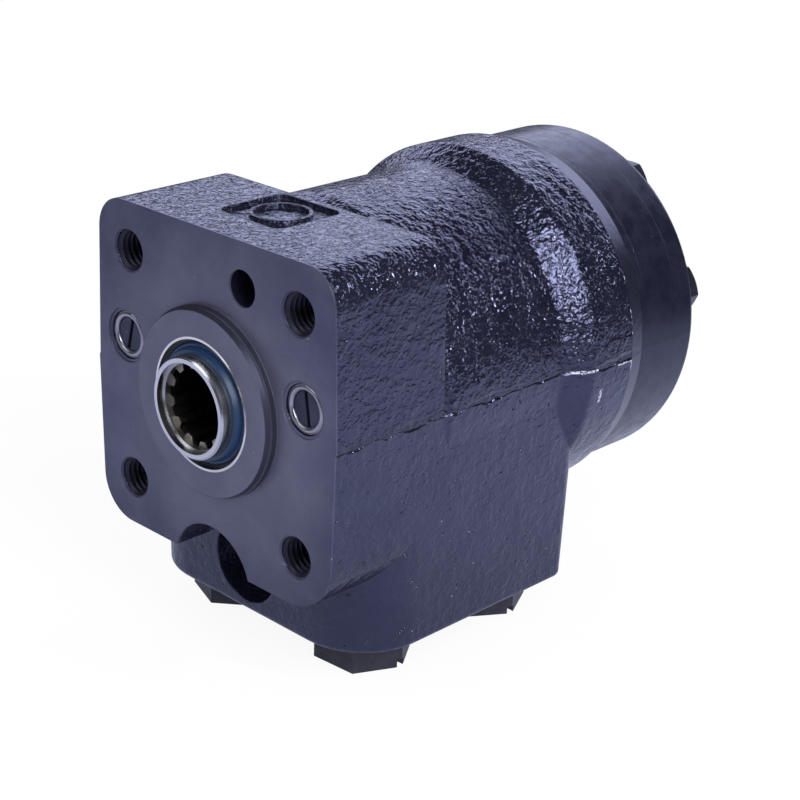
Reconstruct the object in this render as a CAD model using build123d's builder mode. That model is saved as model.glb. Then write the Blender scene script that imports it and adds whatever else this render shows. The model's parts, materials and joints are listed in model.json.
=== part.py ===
"""Orbital steering unit: a rotary control valve with a gerotor metering set.

All sizes are in millimetres. The origin is on the spool axis in the column face, which looks along -Y.
+Y runs back along the spool axis to the end cover, +X is to the right seen from the steering column and
+Z is up. The four ports look down.
"""

from build123d import *
from math import cos, hypot, pi, radians, sin, sqrt, tan
import os

os.makedirs("parts", exist_ok=True)

# Fits and clearances
running_fit = 0.05       # radial gap of a shaft that turns in its hole
sliding_gap = 0.10       # gap between a moving piece and the piece that stops it
seat_gap = 0.02          # gap between fixed pieces that fill a hole
open_gap = 0.30          # gap where nothing is guided
cut_past = 1.0           # how far a cut starts outside the face that it opens

# Column flange and pilot
column_square = 58.34    # side of the square of column bolts, 82.5 on the pitch circle
column_thread = 5.0      # M10
column_thread_deep = 20.0
countersink = 0.3
flange_top = 41.0
flange_low = -41.6
flange_deep = 35.2
side_half = 41.55        # half width of the casting at its parting plane, through the spool axis
parting_shift = 0.3      # how far the lower half of the casting sits to the left of the upper half
upper_draft = 2.0        # degrees, above the parting plane
lower_draft = 1.2        # degrees, below it
flange_top_corner = 8.5
flange_low_left_corner = 10.5
flange_low_right_corner = 13.8
flange_back_round = 1.5
pilot_radius = 23.0
pilot_high = 3.2
pilot_step = 0.35
plain_hole = 4.35
plain_hole_deep = 16.0
plain_hole_spot = (11.0, 30.2)
pad_left = -11.5
pad_right = 9.5
pad_front = 12.0
pad_back = 32.3
pad_corner = 2.5
pad_deep = 1.2
badge_spot = (-0.5, 22.0)
badge_radius = 7.4
badge_rim = 0.9

# Neck and rear flange of the housing
neck_radius = 42.1
cone_front = 75.3
cone_back = 82.6
cone_round = 2.0
rear_radius = 46.5
rear_edge_round = 0.6
rear_round_start = 97.2
housing_back = 103.0
gear_radius = 44.7

# Port block
port_face = -58.5
block_front = 9.8        # at the parting plane, as the back
block_back = 86.2
block_front_corner = 19.0
block_back_corner = 5.0
block_edge_round = 1.5
port_thread = 9.0        # M18
port_deep = 14.0
port_drill = 6.0
port_drill_top = -9.0
port_x = 22.6
port_front = 29.5
port_back = 71.5
spot_face = 11.4
spot_face_deep = 1.2

# Main bore and its grooves
bore_radius = 19.0
bore_start = 10.0
groove_deep = 2.0
groove_wide = 5.0
groove_depths = (50.0, 62.0, 74.0)
channel_radius = 1.9
channel_circle = 26.5
channel_front = 86.0

# Spool nose and seals
spool_nose = 12.3
spool_front = -7.0
spool_chamfer = 0.4
seal_bore = 16.1
seal_bore_back = 2.2
ring_wall = 0.6
ring_long = 1.3
shaft_seal_radius = 15.4
shaft_seal_front = 4.6
shaft_seal_back = 7.8
dust_lip = 0.8           # thickness of the lip and how far it stands out
dust_lip_root = 1.5
dust_rim = 1.3           # width of the flat rim under the bright ring
dust_rim_slope = 0.6
dust_hollow = 0.5        # depth of the hollow between rim and lip

# Thrust bearing
race_inner = 13.2
race_outer = 18.7
race_thick = 1.4
cage_thick = 1.5
needle_radius = 0.95
needle_count = 16
needle_inner = 14.4
needle_outer = 17.8

# Spool and sleeve
sleeve_inner = 13.95
sleeve_back = 97.0
spool_back = 92.0
spline_count = 12
spline_turn = 10.0       # degrees, first tooth from +X
spline_major = 10.3
spline_minor = 8.75
spline_root_wide = 3.3
spline_tip_wide = 1.6
tooth_sink = 0.5         # how far a tooth runs into the body that carries it
spline_front = -3.8
spline_back = 12.0
mouth_radius = 10.9
mouth_deep = 2.0
spool_web_front = 14.0
spool_web_back = 31.5
spool_bore = 10.6
lag_angle = 8.0          # degrees that the spool can turn in the sleeve
meter_slots = 6
meter_slot_wide = 3.0
meter_slot_deep = 1.2

# Centring springs, their ring and the cross pin
spring_front = 20.5
spring_wide = 5.5
leaf_thick = 0.6
leaf_bow = 1.5
ring_thick = 1.0
pin_depth = 38.0
pin_radius = 4.0

# Gear set
bolt_count = 7
bolt_circle = 34.5
bolt_turn = -90.0        # degrees, first cover bolt from +X
plate_thick = 2.6
stator_thick = 12.2
cover_thick = 7.5
cover_round = 2.0
lobe_circle = 30.3
lobe_radius = 6.0
eccentricity = 3.0
mesh_gap = 0.10
rotor_steps = 30         # points of the outline for each rotor tooth
rotor_side_gap = 0.05
plate_hole = 12.5
plate_port_circle = 26.5
plate_port = 2.3
seal_circle = 41.3
seal_wire = 0.7
seal_groove_half = 1.0

# Cardan shaft
drive_start_gap = 0.4    # from the distribution plate to the cardan's drive teeth
cardan_head = 9.5
cardan_head_front = -6.0
cardan_head_back = 11.0
cardan_waist = 6.0
cardan_chamfer = 1.0
drive_teeth = 12
drive_root = 6.9
drive_tip = 8.3
drive_half_long = 4.4
drive_crown = 0.35
rotor_tooth_tip = 7.35
rotor_tooth_root = 8.75
drive_flank_gap = 0.5    # total play of a tooth in its space
drive_lean = 0.63        # width that a tooth loses per unit of height
spacer_radius = 6.9
spacer_thick = 2.0

# Cover bolts
bolt_radius = 3.95       # M8
bolt_tap = 4.0
bolt_clear = 4.25
bolt_tip = 88.2
bolt_tap_spare = 4.2     # how much further the tapped hole runs than the bolt
bolt_flats = 13.0
bolt_head = 5.3
bolt_head_chamfer = 0.7
washer_radius = 7.6
washer_thick = 1.0

# Check valve and suction valves in the rear face
check_turn = 295.7       # degrees from +X
check_circle = 35.2
check_ball_radius = 3.4
check_bore = 3.8
check_seat = 2.4
check_lift = 0.8
check_bushing = 4.4
check_bushing_long = 9.8
check_bushing_sunk = 0.6
suction_bolts = (1, 6)   # places of the bolts above the suction valves, counted from the lowest bolt
suction_ball = 3.0
suction_bore = 3.4
suction_seat = 2.1
suction_lift = 0.8
suction_pin_long = 1.56

# Relief valve below the spool
relief_z = -45.2
notch_radius = 13.7
notch_z = -45.8
relief_mouth = 10.6
relief_mouth_deep = 9.2
relief_thread = 8.0
relief_plug_front = 20.5
relief_plug_back = 29.0
relief_socket = 8.0
relief_socket_deep = 5.0
relief_bore = 5.2
relief_bore_front = 33.0
relief_bore_back = 56.0
relief_seat_front = 50.0
relief_seat_hole = 2.0
poppet_guide = 4.6
poppet_guide_long = 3.5
poppet_ramp = 1.0
poppet_cone = 3.2
poppet_cone_long = 3.2
poppet_nose = 0.8
relief_coil = 3.2
relief_wire = 0.6
relief_turns = 5.0

# Shock valves in the column face
shock_x = 31.0
shock_z = 7.5
shock_bore = 6.0
shock_mouth = 6.7
shock_bore_back = 26.0
shock_seat = 2.5
shock_ball = 3.6
cap_front = 0.9
cap_back = 7.5
cap_recess = 5.0
cap_recess_deep = 2.4
cap_slot_wide = 1.2
cap_slot_deep = 0.6
cap_rim_round = 0.4
shock_coil = 2.7
shock_wire = 0.5
shock_turns = 5.0
wire_sides = 6           # the wire's section is a polygon

# Port plugs
plug_flats = 22.0
plug_low = -67.0
plug_shank = 8.95
plug_shank_long = 10.0
plug_slot_wide = 2.2
plug_slot_deep = 2.0
# Degrees of each plug's driver slot from +X, as the plugs were screwed in
plug_turns = {"front_left": -20.3, "front_right": 4.0, "back_right": -3.0, "back_left": 20.0}

# Places that follow from the sizes above
stator_front = housing_back + plate_thick
cover_front = stator_front + stator_thick
cover_back = cover_front + cover_thick
head_front = cover_back + washer_thick
race_1 = bore_start + seat_gap
cage_start = race_1 + race_thick + sliding_gap / 2
race_2 = cage_start + 2 * needle_radius + sliding_gap / 2
sleeve_front = race_2 + race_thick
spool_shoulder = sleeve_front + sliding_gap
sleeve_radius = bore_radius - running_fit
spool_radius = sleeve_inner - running_fit
spring_back = spring_front + spring_wide
lag_reach = spool_radius * sin(radians(lag_angle))
# The cardan shaft reaches from the cross pin to where its tilted axis meets the rotor's.
# The rim of its fork swings past the pin by the fork's play.
cardan_reach = stator_front + drive_start_gap + drive_half_long - pin_depth
fork_play = cardan_head * eccentricity / cardan_reach
poppet_reach = poppet_cone_long * (poppet_cone - relief_seat_hole) / (poppet_cone - poppet_nose)
poppet_shoulder = relief_seat_front - sliding_gap - poppet_reach
poppet_back = poppet_shoulder - poppet_ramp - poppet_guide_long
# Each valve in the rear face is stacked from what holds it in: the bushing, or the bolt's tip and its pin.
check_bushing_back = housing_back - check_bushing_sunk
check_bushing_front = check_bushing_back - check_bushing_long
check_ball_depth = check_bushing_front + sliding_gap - check_lift - check_ball_radius
check_seat_depth = check_ball_depth - sliding_gap - sqrt(check_ball_radius**2 - check_seat**2)
bolt_tap_front = bolt_tip - bolt_tap_spare
suction_pin_front = bolt_tip - suction_pin_long
suction_ball_depth = suction_pin_front - sliding_gap - suction_lift - suction_ball
suction_seat_depth = suction_ball_depth - sliding_gap - sqrt(suction_ball**2 - suction_seat**2)
drive_pitch = (rotor_tooth_tip + drive_tip) / 2
drive_pitch_wide = pi * drive_pitch / drive_teeth - drive_flank_gap
seal_inner = seal_circle - seal_groove_half
seal_outer = seal_circle + seal_groove_half
valley_radius = lobe_circle + 2 * eccentricity - lobe_radius + mesh_gap
check_spot = (check_circle * cos(radians(check_turn)), check_circle * sin(radians(check_turn)))
port_spots = {
    "front_left": (-port_x, port_front),
    "front_right": (port_x, port_front),
    "back_right": (port_x, port_back),
    "back_left": (-port_x, port_back),
}
sides = {"left": -1, "right": 1}


def across(depth):
    """Sketch plane across the spool axis at this depth: x to the right, y up, seen from the column."""
    return Plane.XZ.offset(-depth)


def disc(radius, start, end, mode=Mode.ADD, spots=((0, 0),)):
    """Round bar or hole along the spool axis, from one depth to another."""
    with BuildSketch(across(start)) as outline:
        with Locations(*spots):
            Circle(radius)
    extrude(outline.sketch, amount=start - end, mode=mode)


def ring(inner, outer, start, end, mode=Mode.ADD):
    """Flat ring about the spool axis, from one depth to another."""
    with BuildSketch(across(start)) as outline:
        Circle(outer)
        Circle(inner, mode=Mode.SUBTRACT)
    extrude(outline.sketch, amount=start - end, mode=mode)


def turned(points, mode=Mode.ADD):
    """Solid turned about the spool axis from a closed outline of (radius, depth) points."""
    with BuildSketch(Plane.XY) as outline:
        with BuildLine():
            Polyline(*points, close=True)
        make_face()
    revolve(outline.sketch, axis=Axis.Y, mode=mode)


def polar(radius, degrees):
    return (radius * cos(radians(degrees)), radius * sin(radians(degrees)))


def bolt_spot(place):
    return polar(bolt_circle, bolt_turn + place * 360 / bolt_count)


def gap_spot(circle, place):
    """Spot half way between two cover bolts, on a circle of its own."""
    return polar(circle, bolt_turn + (2 * place + 1) * 180 / bolt_count)


def teeth(count, first, root, tip, root_wide, tip_wide, mode=Mode.ADD):
    """Ring of straight-sided spline teeth in the open sketch, each sunk a little past its root."""
    sink = tooth_sink if root > tip else -tooth_sink
    sunk_wide = root_wide + (root_wide - tip_wide) * tooth_sink / abs(root - tip)
    with PolarLocations(0, count, start_angle=first):
        Polygon(
            (root + sink, -sunk_wide / 2),
            (tip, -tip_wide / 2),
            (tip, tip_wide / 2),
            (root + sink, sunk_wide / 2),
            align=None,
            mode=mode,
        )


def save(node, name):
    node.part.label = name
    export_step(node.part, f"parts/{name}.step")


# Housing: cast flange, neck, rear flange and port block, with every bore that it holds
with BuildPart() as housing:
    with BuildSketch(across(0)) as flange_outline:
        for z, draft, shift in ((flange_top, upper_draft, 0.5), (flange_low, lower_draft, -0.5)):
            lean = abs(z) * tan(radians(draft))
            with Locations((shift * parting_shift, 0)):
                Polygon(
                    (-side_half, 0),
                    (side_half, 0),
                    (side_half - lean, z),
                    (lean - side_half, z),
                    align=None,
                )
        fillet(flange_outline.vertices().group_by(Axis.Y)[-1], radius=flange_top_corner)
        for side, radius in ((0, flange_low_left_corner), (-1, flange_low_right_corner)):
            low_corners = flange_outline.vertices().group_by(Axis.Y)[0].sort_by(Axis.X)
            fillet(low_corners[side], radius=radius)
        with Locations((0, notch_z)):
            Circle(notch_radius, mode=Mode.SUBTRACT)
    extrude(amount=-flange_deep)
    fillet(housing.faces().sort_by(Axis.Y)[-1].outer_wire().edges(), radius=flange_back_round)
    # Draughted port block under the spool
    with BuildSketch(Plane.XY) as block_outline:
        with Locations((-parting_shift / 2, (block_front + block_back) / 2)):
            Rectangle(2 * side_half, block_back - block_front)
        fillet(block_outline.vertices().group_by(Axis.Y)[0], radius=block_front_corner)
        fillet(block_outline.vertices().group_by(Axis.Y)[-1], radius=block_back_corner)
    extrude(amount=-port_face, dir=(0, 0, -1), taper=lower_draft)
    fillet(housing.faces().sort_by(Axis.Z)[0].outer_wire().edges(), radius=block_edge_round)
    # Neck, cone and rear flange
    with BuildSketch(Plane.XY):
        with BuildLine():
            FilletPolyline(
                (neck_radius, flange_deep + flange_back_round),
                (neck_radius, cone_front),
                (rear_radius, cone_back),
                (rear_radius, rear_round_start),
                (gear_radius + open_gap, housing_back),
                radius=(cone_round, cone_round, rear_edge_round),
            )
            Polyline(
                (gear_radius + open_gap, housing_back),
                (0, housing_back),
                (0, flange_deep - flange_back_round),
                (flange_top, flange_deep - flange_back_round),
                (neck_radius, flange_deep + flange_back_round),
            )
        make_face()
    revolve(axis=Axis.Y)
    # Pilot ring round the seals, with a fine step half way
    turned(
        [
            (0, seat_gap),
            (pilot_radius, seat_gap),
            (pilot_radius, -pilot_high / 2),
            (pilot_radius - pilot_step, -pilot_high / 2 - pilot_step / 2),
            (pilot_radius - 2 * pilot_step, -pilot_high),
            (0, -pilot_high),
        ]
    )
    # Recessed pad on the top of the flange, with a plain raised badge
    with BuildSketch(Plane.XY.offset(flange_top)):
        with Locations(((pad_left + pad_right) / 2, (pad_front + pad_back) / 2)):
            RectangleRounded(pad_right - pad_left, pad_back - pad_front, pad_corner)
        with Locations(badge_spot):
            Circle(badge_radius, mode=Mode.SUBTRACT)
            Circle(badge_radius - badge_rim)
    extrude(amount=-pad_deep, mode=Mode.SUBTRACT)
    # Main bore, seal bore and the annular grooves
    turned(
        [
            (0, -pilot_high - cut_past),
            (seal_bore, -pilot_high - cut_past),
            (seal_bore, seal_bore_back),
            (spool_nose + open_gap, seal_bore_back),
            (spool_nose + open_gap, shaft_seal_front),
            (shaft_seal_radius, shaft_seal_front),
            (shaft_seal_radius, shaft_seal_back),
            (spool_nose + open_gap, shaft_seal_back),
            (spool_nose + open_gap, bore_start),
            (bore_radius, bore_start),
            (bore_radius, housing_back + cut_past),
            (0, housing_back + cut_past),
        ],
        mode=Mode.SUBTRACT,
    )
    for depth in groove_depths:
        disc(bore_radius + groove_deep, depth - groove_wide / 2, depth + groove_wide / 2, Mode.SUBTRACT)
    # Threaded column holes and the plain hole
    column_half = column_square / 2
    column_spots = [(x, z) for x in (-column_half, column_half) for z in (-column_half, column_half)]
    disc(column_thread, 0, column_thread_deep, Mode.SUBTRACT, column_spots)
    disc(column_thread + countersink, 0, countersink, Mode.SUBTRACT, column_spots)
    disc(plain_hole, 0, plain_hole_deep, Mode.SUBTRACT, [plain_hole_spot])
    # Shock valve bores
    shock_spots = [(sign * shock_x, shock_z) for sign in sides.values()]
    disc(shock_bore, 0, shock_bore_back, Mode.SUBTRACT, shock_spots)
    disc(shock_mouth, 0, cap_front / 2, Mode.SUBTRACT, shock_spots)
    disc(shock_seat, shock_bore_back, flange_deep, Mode.SUBTRACT, shock_spots)
    # Relief valve bore
    relief_spot = [(0, relief_z)]
    disc(relief_mouth, block_front - cut_past, block_front + relief_mouth_deep, Mode.SUBTRACT, relief_spot)
    disc(relief_thread, block_front, relief_bore_front, Mode.SUBTRACT, relief_spot)
    disc(relief_bore, relief_bore_front, relief_bore_back, Mode.SUBTRACT, relief_spot)
    disc(relief_seat_hole, relief_bore_back, port_back, Mode.SUBTRACT, relief_spot)
    # Ports
    with BuildSketch(Plane.XY.offset(port_face)):
        with Locations(*port_spots.values()):
            Circle(port_thread)
    extrude(amount=port_deep, mode=Mode.SUBTRACT)
    with BuildSketch(Plane.XY.offset(port_face)):
        with Locations(*port_spots.values()):
            Circle(spot_face)
    extrude(amount=spot_face_deep, mode=Mode.SUBTRACT)
    with BuildSketch(Plane.XY.offset(port_face)):
        with Locations(*port_spots.values()):
            Circle(port_drill)
    extrude(amount=port_drill_top - port_face, mode=Mode.SUBTRACT)
    # Rear face: bolt holes, gear channels, check valve, suction valves and seal groove
    bolt_spots = [bolt_spot(place) for place in range(bolt_count)]
    disc(bolt_tap, bolt_tap_front, housing_back, Mode.SUBTRACT, bolt_spots)
    channel_spots = [gap_spot(channel_circle, place) for place in range(bolt_count)]
    disc(channel_radius, channel_front, housing_back, Mode.SUBTRACT, channel_spots)
    disc(check_bore, check_seat_depth, check_bushing_front, Mode.SUBTRACT, [check_spot])
    disc(check_seat, groove_depths[-1], check_seat_depth, Mode.SUBTRACT, [check_spot])
    disc(check_bushing + seat_gap, check_bushing_front, housing_back, Mode.SUBTRACT, [check_spot])
    suction_spots = [bolt_spot(place) for place in suction_bolts]
    disc(suction_bore, suction_seat_depth, bolt_tap_front, Mode.SUBTRACT, suction_spots)
    disc(suction_seat, groove_depths[-1], suction_seat_depth, Mode.SUBTRACT, suction_spots)
    ring(seal_inner, seal_outer, housing_back - 2 * seal_wire, housing_back, Mode.SUBTRACT)
save(housing, "housing")

# Seals and the bright ring at the spool nose
ring_front = ring_long - pilot_high
with BuildPart() as seal_retaining_ring:
    ring(seal_bore - ring_wall, seal_bore - seat_gap, -pilot_high, ring_front)
save(seal_retaining_ring, "seal_retaining_ring")

with BuildPart() as dust_seal:
    turned(
        [
            (spool_nose + open_gap, seal_bore_back - seat_gap),
            (seal_bore - seat_gap, seal_bore_back - seat_gap),
            (seal_bore - seat_gap, ring_front + seat_gap),
            (seal_bore - dust_rim, ring_front + seat_gap),
            (seal_bore - dust_rim - dust_rim_slope, ring_front - dust_hollow),
            (spool_nose + dust_lip_root, ring_front - dust_hollow),
            (spool_nose + running_fit + dust_lip, -pilot_high - dust_lip),
            (spool_nose + running_fit, -pilot_high - dust_lip),
            (spool_nose + running_fit, ring_front),
        ]
    )
save(dust_seal, "dust_seal")

with BuildPart() as shaft_seal:
    shaft_seal_mid = (shaft_seal_front + shaft_seal_back) / 2
    shaft_seal_waist = (shaft_seal_back - shaft_seal_front) / 6
    turned(
        [
            (spool_nose + running_fit, shaft_seal_front + seat_gap),
            (spool_nose + running_fit + shaft_seal_waist, shaft_seal_mid),
            (spool_nose + running_fit, shaft_seal_back - seat_gap),
            (shaft_seal_radius - seat_gap, shaft_seal_back - seat_gap),
            (shaft_seal_radius - shaft_seal_waist, shaft_seal_mid),
            (shaft_seal_radius - seat_gap, shaft_seal_front + seat_gap),
        ]
    )
save(shaft_seal, "shaft_seal")

# Thrust bearing between the housing's shoulder and the sleeve
with BuildPart() as thrust_bearing_outer_race:
    ring(race_inner, race_outer, race_1, race_1 + race_thick)
save(thrust_bearing_outer_race, "thrust_bearing_outer_race")

with BuildPart() as thrust_bearing_cage:
    cage_mid = cage_start + needle_radius
    cage_front = cage_mid - cage_thick / 2
    ring(race_inner + open_gap, race_outer - open_gap / 2, cage_front, cage_front + cage_thick)
    with BuildSketch(across(cage_front)):
        with PolarLocations((needle_inner + needle_outer) / 2, needle_count):
            Rectangle(
                needle_outer - needle_inner + 2 * sliding_gap,
                2 * (needle_radius + sliding_gap),
            )
    extrude(amount=-cage_thick, mode=Mode.SUBTRACT)
save(thrust_bearing_cage, "thrust_bearing_cage")

with BuildPart() as thrust_bearing_needles:
    for place in range(needle_count):
        turn = radians(place * 360 / needle_count)
        outward = (cos(turn), 0, sin(turn))
        foot = (needle_inner * cos(turn), cage_mid, needle_inner * sin(turn))
        with BuildSketch(Plane(origin=foot, z_dir=outward)):
            Circle(needle_radius)
        extrude(amount=needle_outer - needle_inner)
save(thrust_bearing_needles, "thrust_bearing_needles")

with BuildPart() as thrust_bearing_inner_race:
    ring(race_inner, race_outer, race_2, sleeve_front)
save(thrust_bearing_inner_race, "thrust_bearing_inner_race")

# Control spool: splined nose, spring slot, pin windows and metering slots
with BuildPart() as control_spool:
    turned(
        [
            (0, spool_front),
            (spool_nose - spool_chamfer, spool_front),
            (spool_nose, spool_front + spool_chamfer),
            (spool_nose, spool_shoulder),
            (spool_radius, spool_shoulder),
            (spool_radius, spool_back),
            (0, spool_back),
        ]
    )
    disc(mouth_radius, spool_front, spool_front + mouth_deep, Mode.SUBTRACT)
    disc(spline_major, spool_front, spline_front, Mode.SUBTRACT)
    disc(spline_major, spline_back, spool_web_front, Mode.SUBTRACT)
    with BuildSketch(across(spline_front)):
        Circle(spline_major)
        teeth(
            spline_count,
            spline_turn,
            spline_major,
            spline_minor,
            spline_root_wide,
            spline_tip_wide,
            Mode.SUBTRACT,
        )
    extrude(amount=spline_front - spline_back, mode=Mode.SUBTRACT)
    disc(spool_bore, spool_web_back, spool_back, Mode.SUBTRACT)
    # Slot for the springs, wide enough for the spool to lag behind the sleeve
    slot_half = leaf_bow + 2 * leaf_thick + lag_reach + sliding_gap
    with BuildSketch(across(spring_front - sliding_gap)):
        Rectangle(2 * slot_half, 2 * bore_radius)
    extrude(amount=-(spring_wide + 2 * sliding_gap), mode=Mode.SUBTRACT)
    # Windows for the cross pin
    with BuildSketch(Plane.YZ.offset(-bore_radius)):
        with Locations((pin_depth, 0)):
            SlotOverall(2 * (pin_radius + lag_reach + open_gap), 2 * (pin_radius + sliding_gap), rotation=90)
    extrude(amount=2 * bore_radius, mode=Mode.SUBTRACT)
    # Metering slots and the collecting groove
    for place in range(meter_slots):
        turn = 180 * (2 * place + 1) / meter_slots
        slot_at = Plane(
            origin=(spool_radius * cos(radians(turn)), groove_depths[0], spool_radius * sin(radians(turn))),
            x_dir=(0, 1, 0),
            z_dir=(cos(radians(turn)), 0, sin(radians(turn))),
        )
        with BuildSketch(slot_at):
            with Locations(((groove_depths[1] - groove_depths[0]) / 2, 0)):
                Rectangle(groove_depths[1] - groove_depths[0] + groove_wide / 2, meter_slot_wide)
        extrude(amount=-meter_slot_deep, mode=Mode.SUBTRACT)
    ring(
        spool_radius - meter_slot_deep,
        bore_radius,
        groove_depths[2] - groove_wide / 2,
        groove_depths[2] + groove_wide / 2,
        Mode.SUBTRACT,
    )
save(control_spool, "control_spool")

# Control sleeve round the spool
with BuildPart() as control_sleeve:
    ring(sleeve_inner, sleeve_radius, sleeve_front, sleeve_back)
    # Seat of the spring ring and the slots of the springs
    ring(
        sleeve_radius - ring_thick - seat_gap,
        bore_radius,
        spring_front - ring_thick,
        spring_back + ring_thick,
        Mode.SUBTRACT,
    )
    with BuildSketch(across(spring_front - seat_gap)):
        Rectangle(2 * (leaf_bow + 2 * leaf_thick + sliding_gap), 2 * bore_radius)
    extrude(amount=-(spring_wide + 2 * seat_gap), mode=Mode.SUBTRACT)
    # Holes of the cross pin
    with BuildSketch(Plane.YZ.offset(-bore_radius)):
        with Locations((pin_depth, 0)):
            Circle(pin_radius + seat_gap)
    extrude(amount=2 * bore_radius, mode=Mode.SUBTRACT)
    # Rows of ports: straight through the wall at each groove of the housing
    for depth in groove_depths:
        for place in range(meter_slots // 2):
            turn = radians(180 * (2 * place + 1) / meter_slots)
            outward = (cos(turn), 0, sin(turn))
            start = (-bore_radius * cos(turn), depth, -bore_radius * sin(turn))
            with BuildSketch(Plane(origin=start, z_dir=outward)):
                Circle(meter_slot_wide / 2)
            extrude(amount=2 * bore_radius, mode=Mode.SUBTRACT)
save(control_sleeve, "control_sleeve")

# Centring springs: two straight leaves between bowed ones
with BuildPart() as centring_springs:
    reach = sqrt((sleeve_radius - ring_thick) ** 2 - (leaf_bow + 2 * leaf_thick) ** 2) - sliding_gap
    for sign in sides.values():
        with BuildSketch(across(spring_front)):
            with Locations((sign * leaf_thick / 2, 0)):
                Rectangle(leaf_thick - seat_gap, 2 * reach)
        extrude(amount=-spring_wide)
        with BuildSketch(across(spring_front)):
            with BuildLine():
                near = sign * leaf_thick
                far = sign * (leaf_thick + leaf_bow)
                ThreePointArc((far, -reach), (near, 0), (far, reach))
                Line((far, reach), (far + near, reach))
                ThreePointArc((far + near, reach), (2 * near, 0), (far + near, -reach))
                Line((far + near, -reach), (far, -reach))
            make_face()
        extrude(amount=-spring_wide)
save(centring_springs, "centring_springs")

with BuildPart() as spring_ring:
    ring(
        sleeve_radius - ring_thick,
        sleeve_radius - seat_gap,
        spring_front - ring_thick / 2,
        spring_back + ring_thick / 2,
    )
save(spring_ring, "spring_ring")

with BuildPart() as cross_pin:
    pin_half = sqrt(bore_radius**2 - pin_radius**2) - sliding_gap
    with BuildSketch(Plane.YZ.offset(-pin_half)):
        with Locations((pin_depth, 0)):
            Circle(pin_radius)
    extrude(amount=2 * pin_half)
    chamfer(cross_pin.edges().filter_by(GeomType.CIRCLE), length=pin_radius / 8)
save(cross_pin, "cross_pin")

# Cardan shaft: forked head on the cross pin, crowned spline in the rotor
shaft_plane = Plane(
    origin=(0, pin_depth, 0),
    x_dir=(1, 0, 0),
    z_dir=(0, cardan_reach, eccentricity),
)
shaft_axis = Axis(shaft_plane.origin, shaft_plane.z_dir)
drive_middle = shaft_plane.z_dir.length * hypot(cardan_reach, eccentricity)
drive_front = drive_middle - drive_half_long
drive_back = drive_middle + drive_half_long
drive_turn = 180 / drive_teeth
with BuildPart() as cardan_shaft:
    with BuildSketch(shaft_plane.offset(drive_front)):
        Circle(drive_root)
        teeth(
            drive_teeth,
            drive_turn,
            drive_root,
            drive_tip,
            drive_pitch_wide + drive_lean * (drive_pitch - drive_root),
            drive_pitch_wide - drive_lean * (drive_tip - drive_pitch),
        )
    extrude(amount=2 * drive_half_long)
    # Crown: the tooth tips fall away towards both ends
    crown_plane = Plane(origin=shaft_plane.origin, x_dir=shaft_plane.x_dir, z_dir=shaft_plane.y_dir)
    with BuildSketch(crown_plane):
        with BuildLine():
            Polyline(
                (0, -drive_front),
                (drive_tip - drive_crown, -drive_front),
            )
            ThreePointArc(
                (drive_tip - drive_crown, -drive_front),
                (drive_tip, -drive_middle),
                (drive_tip - drive_crown, -drive_back),
            )
            Polyline(
                (drive_tip - drive_crown, -drive_back),
                (0, -drive_back),
                (0, -drive_front),
            )
        make_face()
    revolve(axis=shaft_axis, mode=Mode.INTERSECT)
    with BuildSketch(shaft_plane.offset(cardan_head_front)):
        Circle(cardan_head)
    extrude(amount=cardan_head_back - cardan_head_front)
    chamfer(cardan_shaft.edges().filter_by(GeomType.CIRCLE).sort_by(Axis.Y)[0], length=cardan_chamfer)
    with BuildSketch(shaft_plane.offset(cardan_head_back)):
        Circle(cardan_waist)
    extrude(amount=drive_front - cardan_head_back)
    # Fork slot over the cross pin
    with BuildSketch(shaft_plane.offset(cardan_head_front)):
        Rectangle(3 * cardan_head, 2 * (pin_radius + sliding_gap))
    extrude(amount=pin_radius + sliding_gap + fork_play - cardan_head_front, mode=Mode.SUBTRACT)
save(cardan_shaft, "cardan_shaft")

# Distribution plate
with BuildPart() as distribution_plate:
    ring(plate_hole, gear_radius, housing_back, stator_front)
    disc(bolt_clear, housing_back, stator_front, Mode.SUBTRACT, bolt_spots)
    plate_port_spots = [gap_spot(plate_port_circle, place) for place in range(bolt_count)]
    disc(plate_port, housing_back, stator_front, Mode.SUBTRACT, plate_port_spots)
save(distribution_plate, "distribution_plate")

# Gear stator: seven round lobes, each round a cover bolt
with BuildPart() as gear_stator:
    with BuildSketch(across(stator_front)):
        Circle(gear_radius)
        Circle(valley_radius, mode=Mode.SUBTRACT)
        with PolarLocations(lobe_circle, bolt_count, start_angle=bolt_turn):
            Circle(lobe_radius)
    extrude(amount=-stator_thick)
    disc(bolt_clear, stator_front, cover_front, Mode.SUBTRACT, bolt_spots)
    ring(seal_inner, seal_outer, stator_front, stator_front + 2 * seal_wire, Mode.SUBTRACT)
save(gear_stator, "gear_stator")


def rotor_outline(steps):
    """Points of the rotor that rolls in touch with all the stator's lobes.

    In the rotor's frame each lobe's centre runs along an epitrochoid.
    The outline lies a lobe's radius and the mesh gap inside that path.
    """
    points = []
    for step in range(steps):
        turn = 2 * pi * step / steps
        path_x = lobe_circle * cos(turn) - eccentricity * cos(bolt_count * turn)
        path_y = lobe_circle * sin(turn) - eccentricity * sin(bolt_count * turn)
        slope_x = -lobe_circle * sin(turn) + bolt_count * eccentricity * sin(bolt_count * turn)
        slope_y = lobe_circle * cos(turn) - bolt_count * eccentricity * cos(bolt_count * turn)
        inward = (lobe_radius + mesh_gap) / hypot(slope_x, slope_y)
        points.append((path_x - slope_y * inward, path_y + slope_x * inward))
    return points


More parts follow.
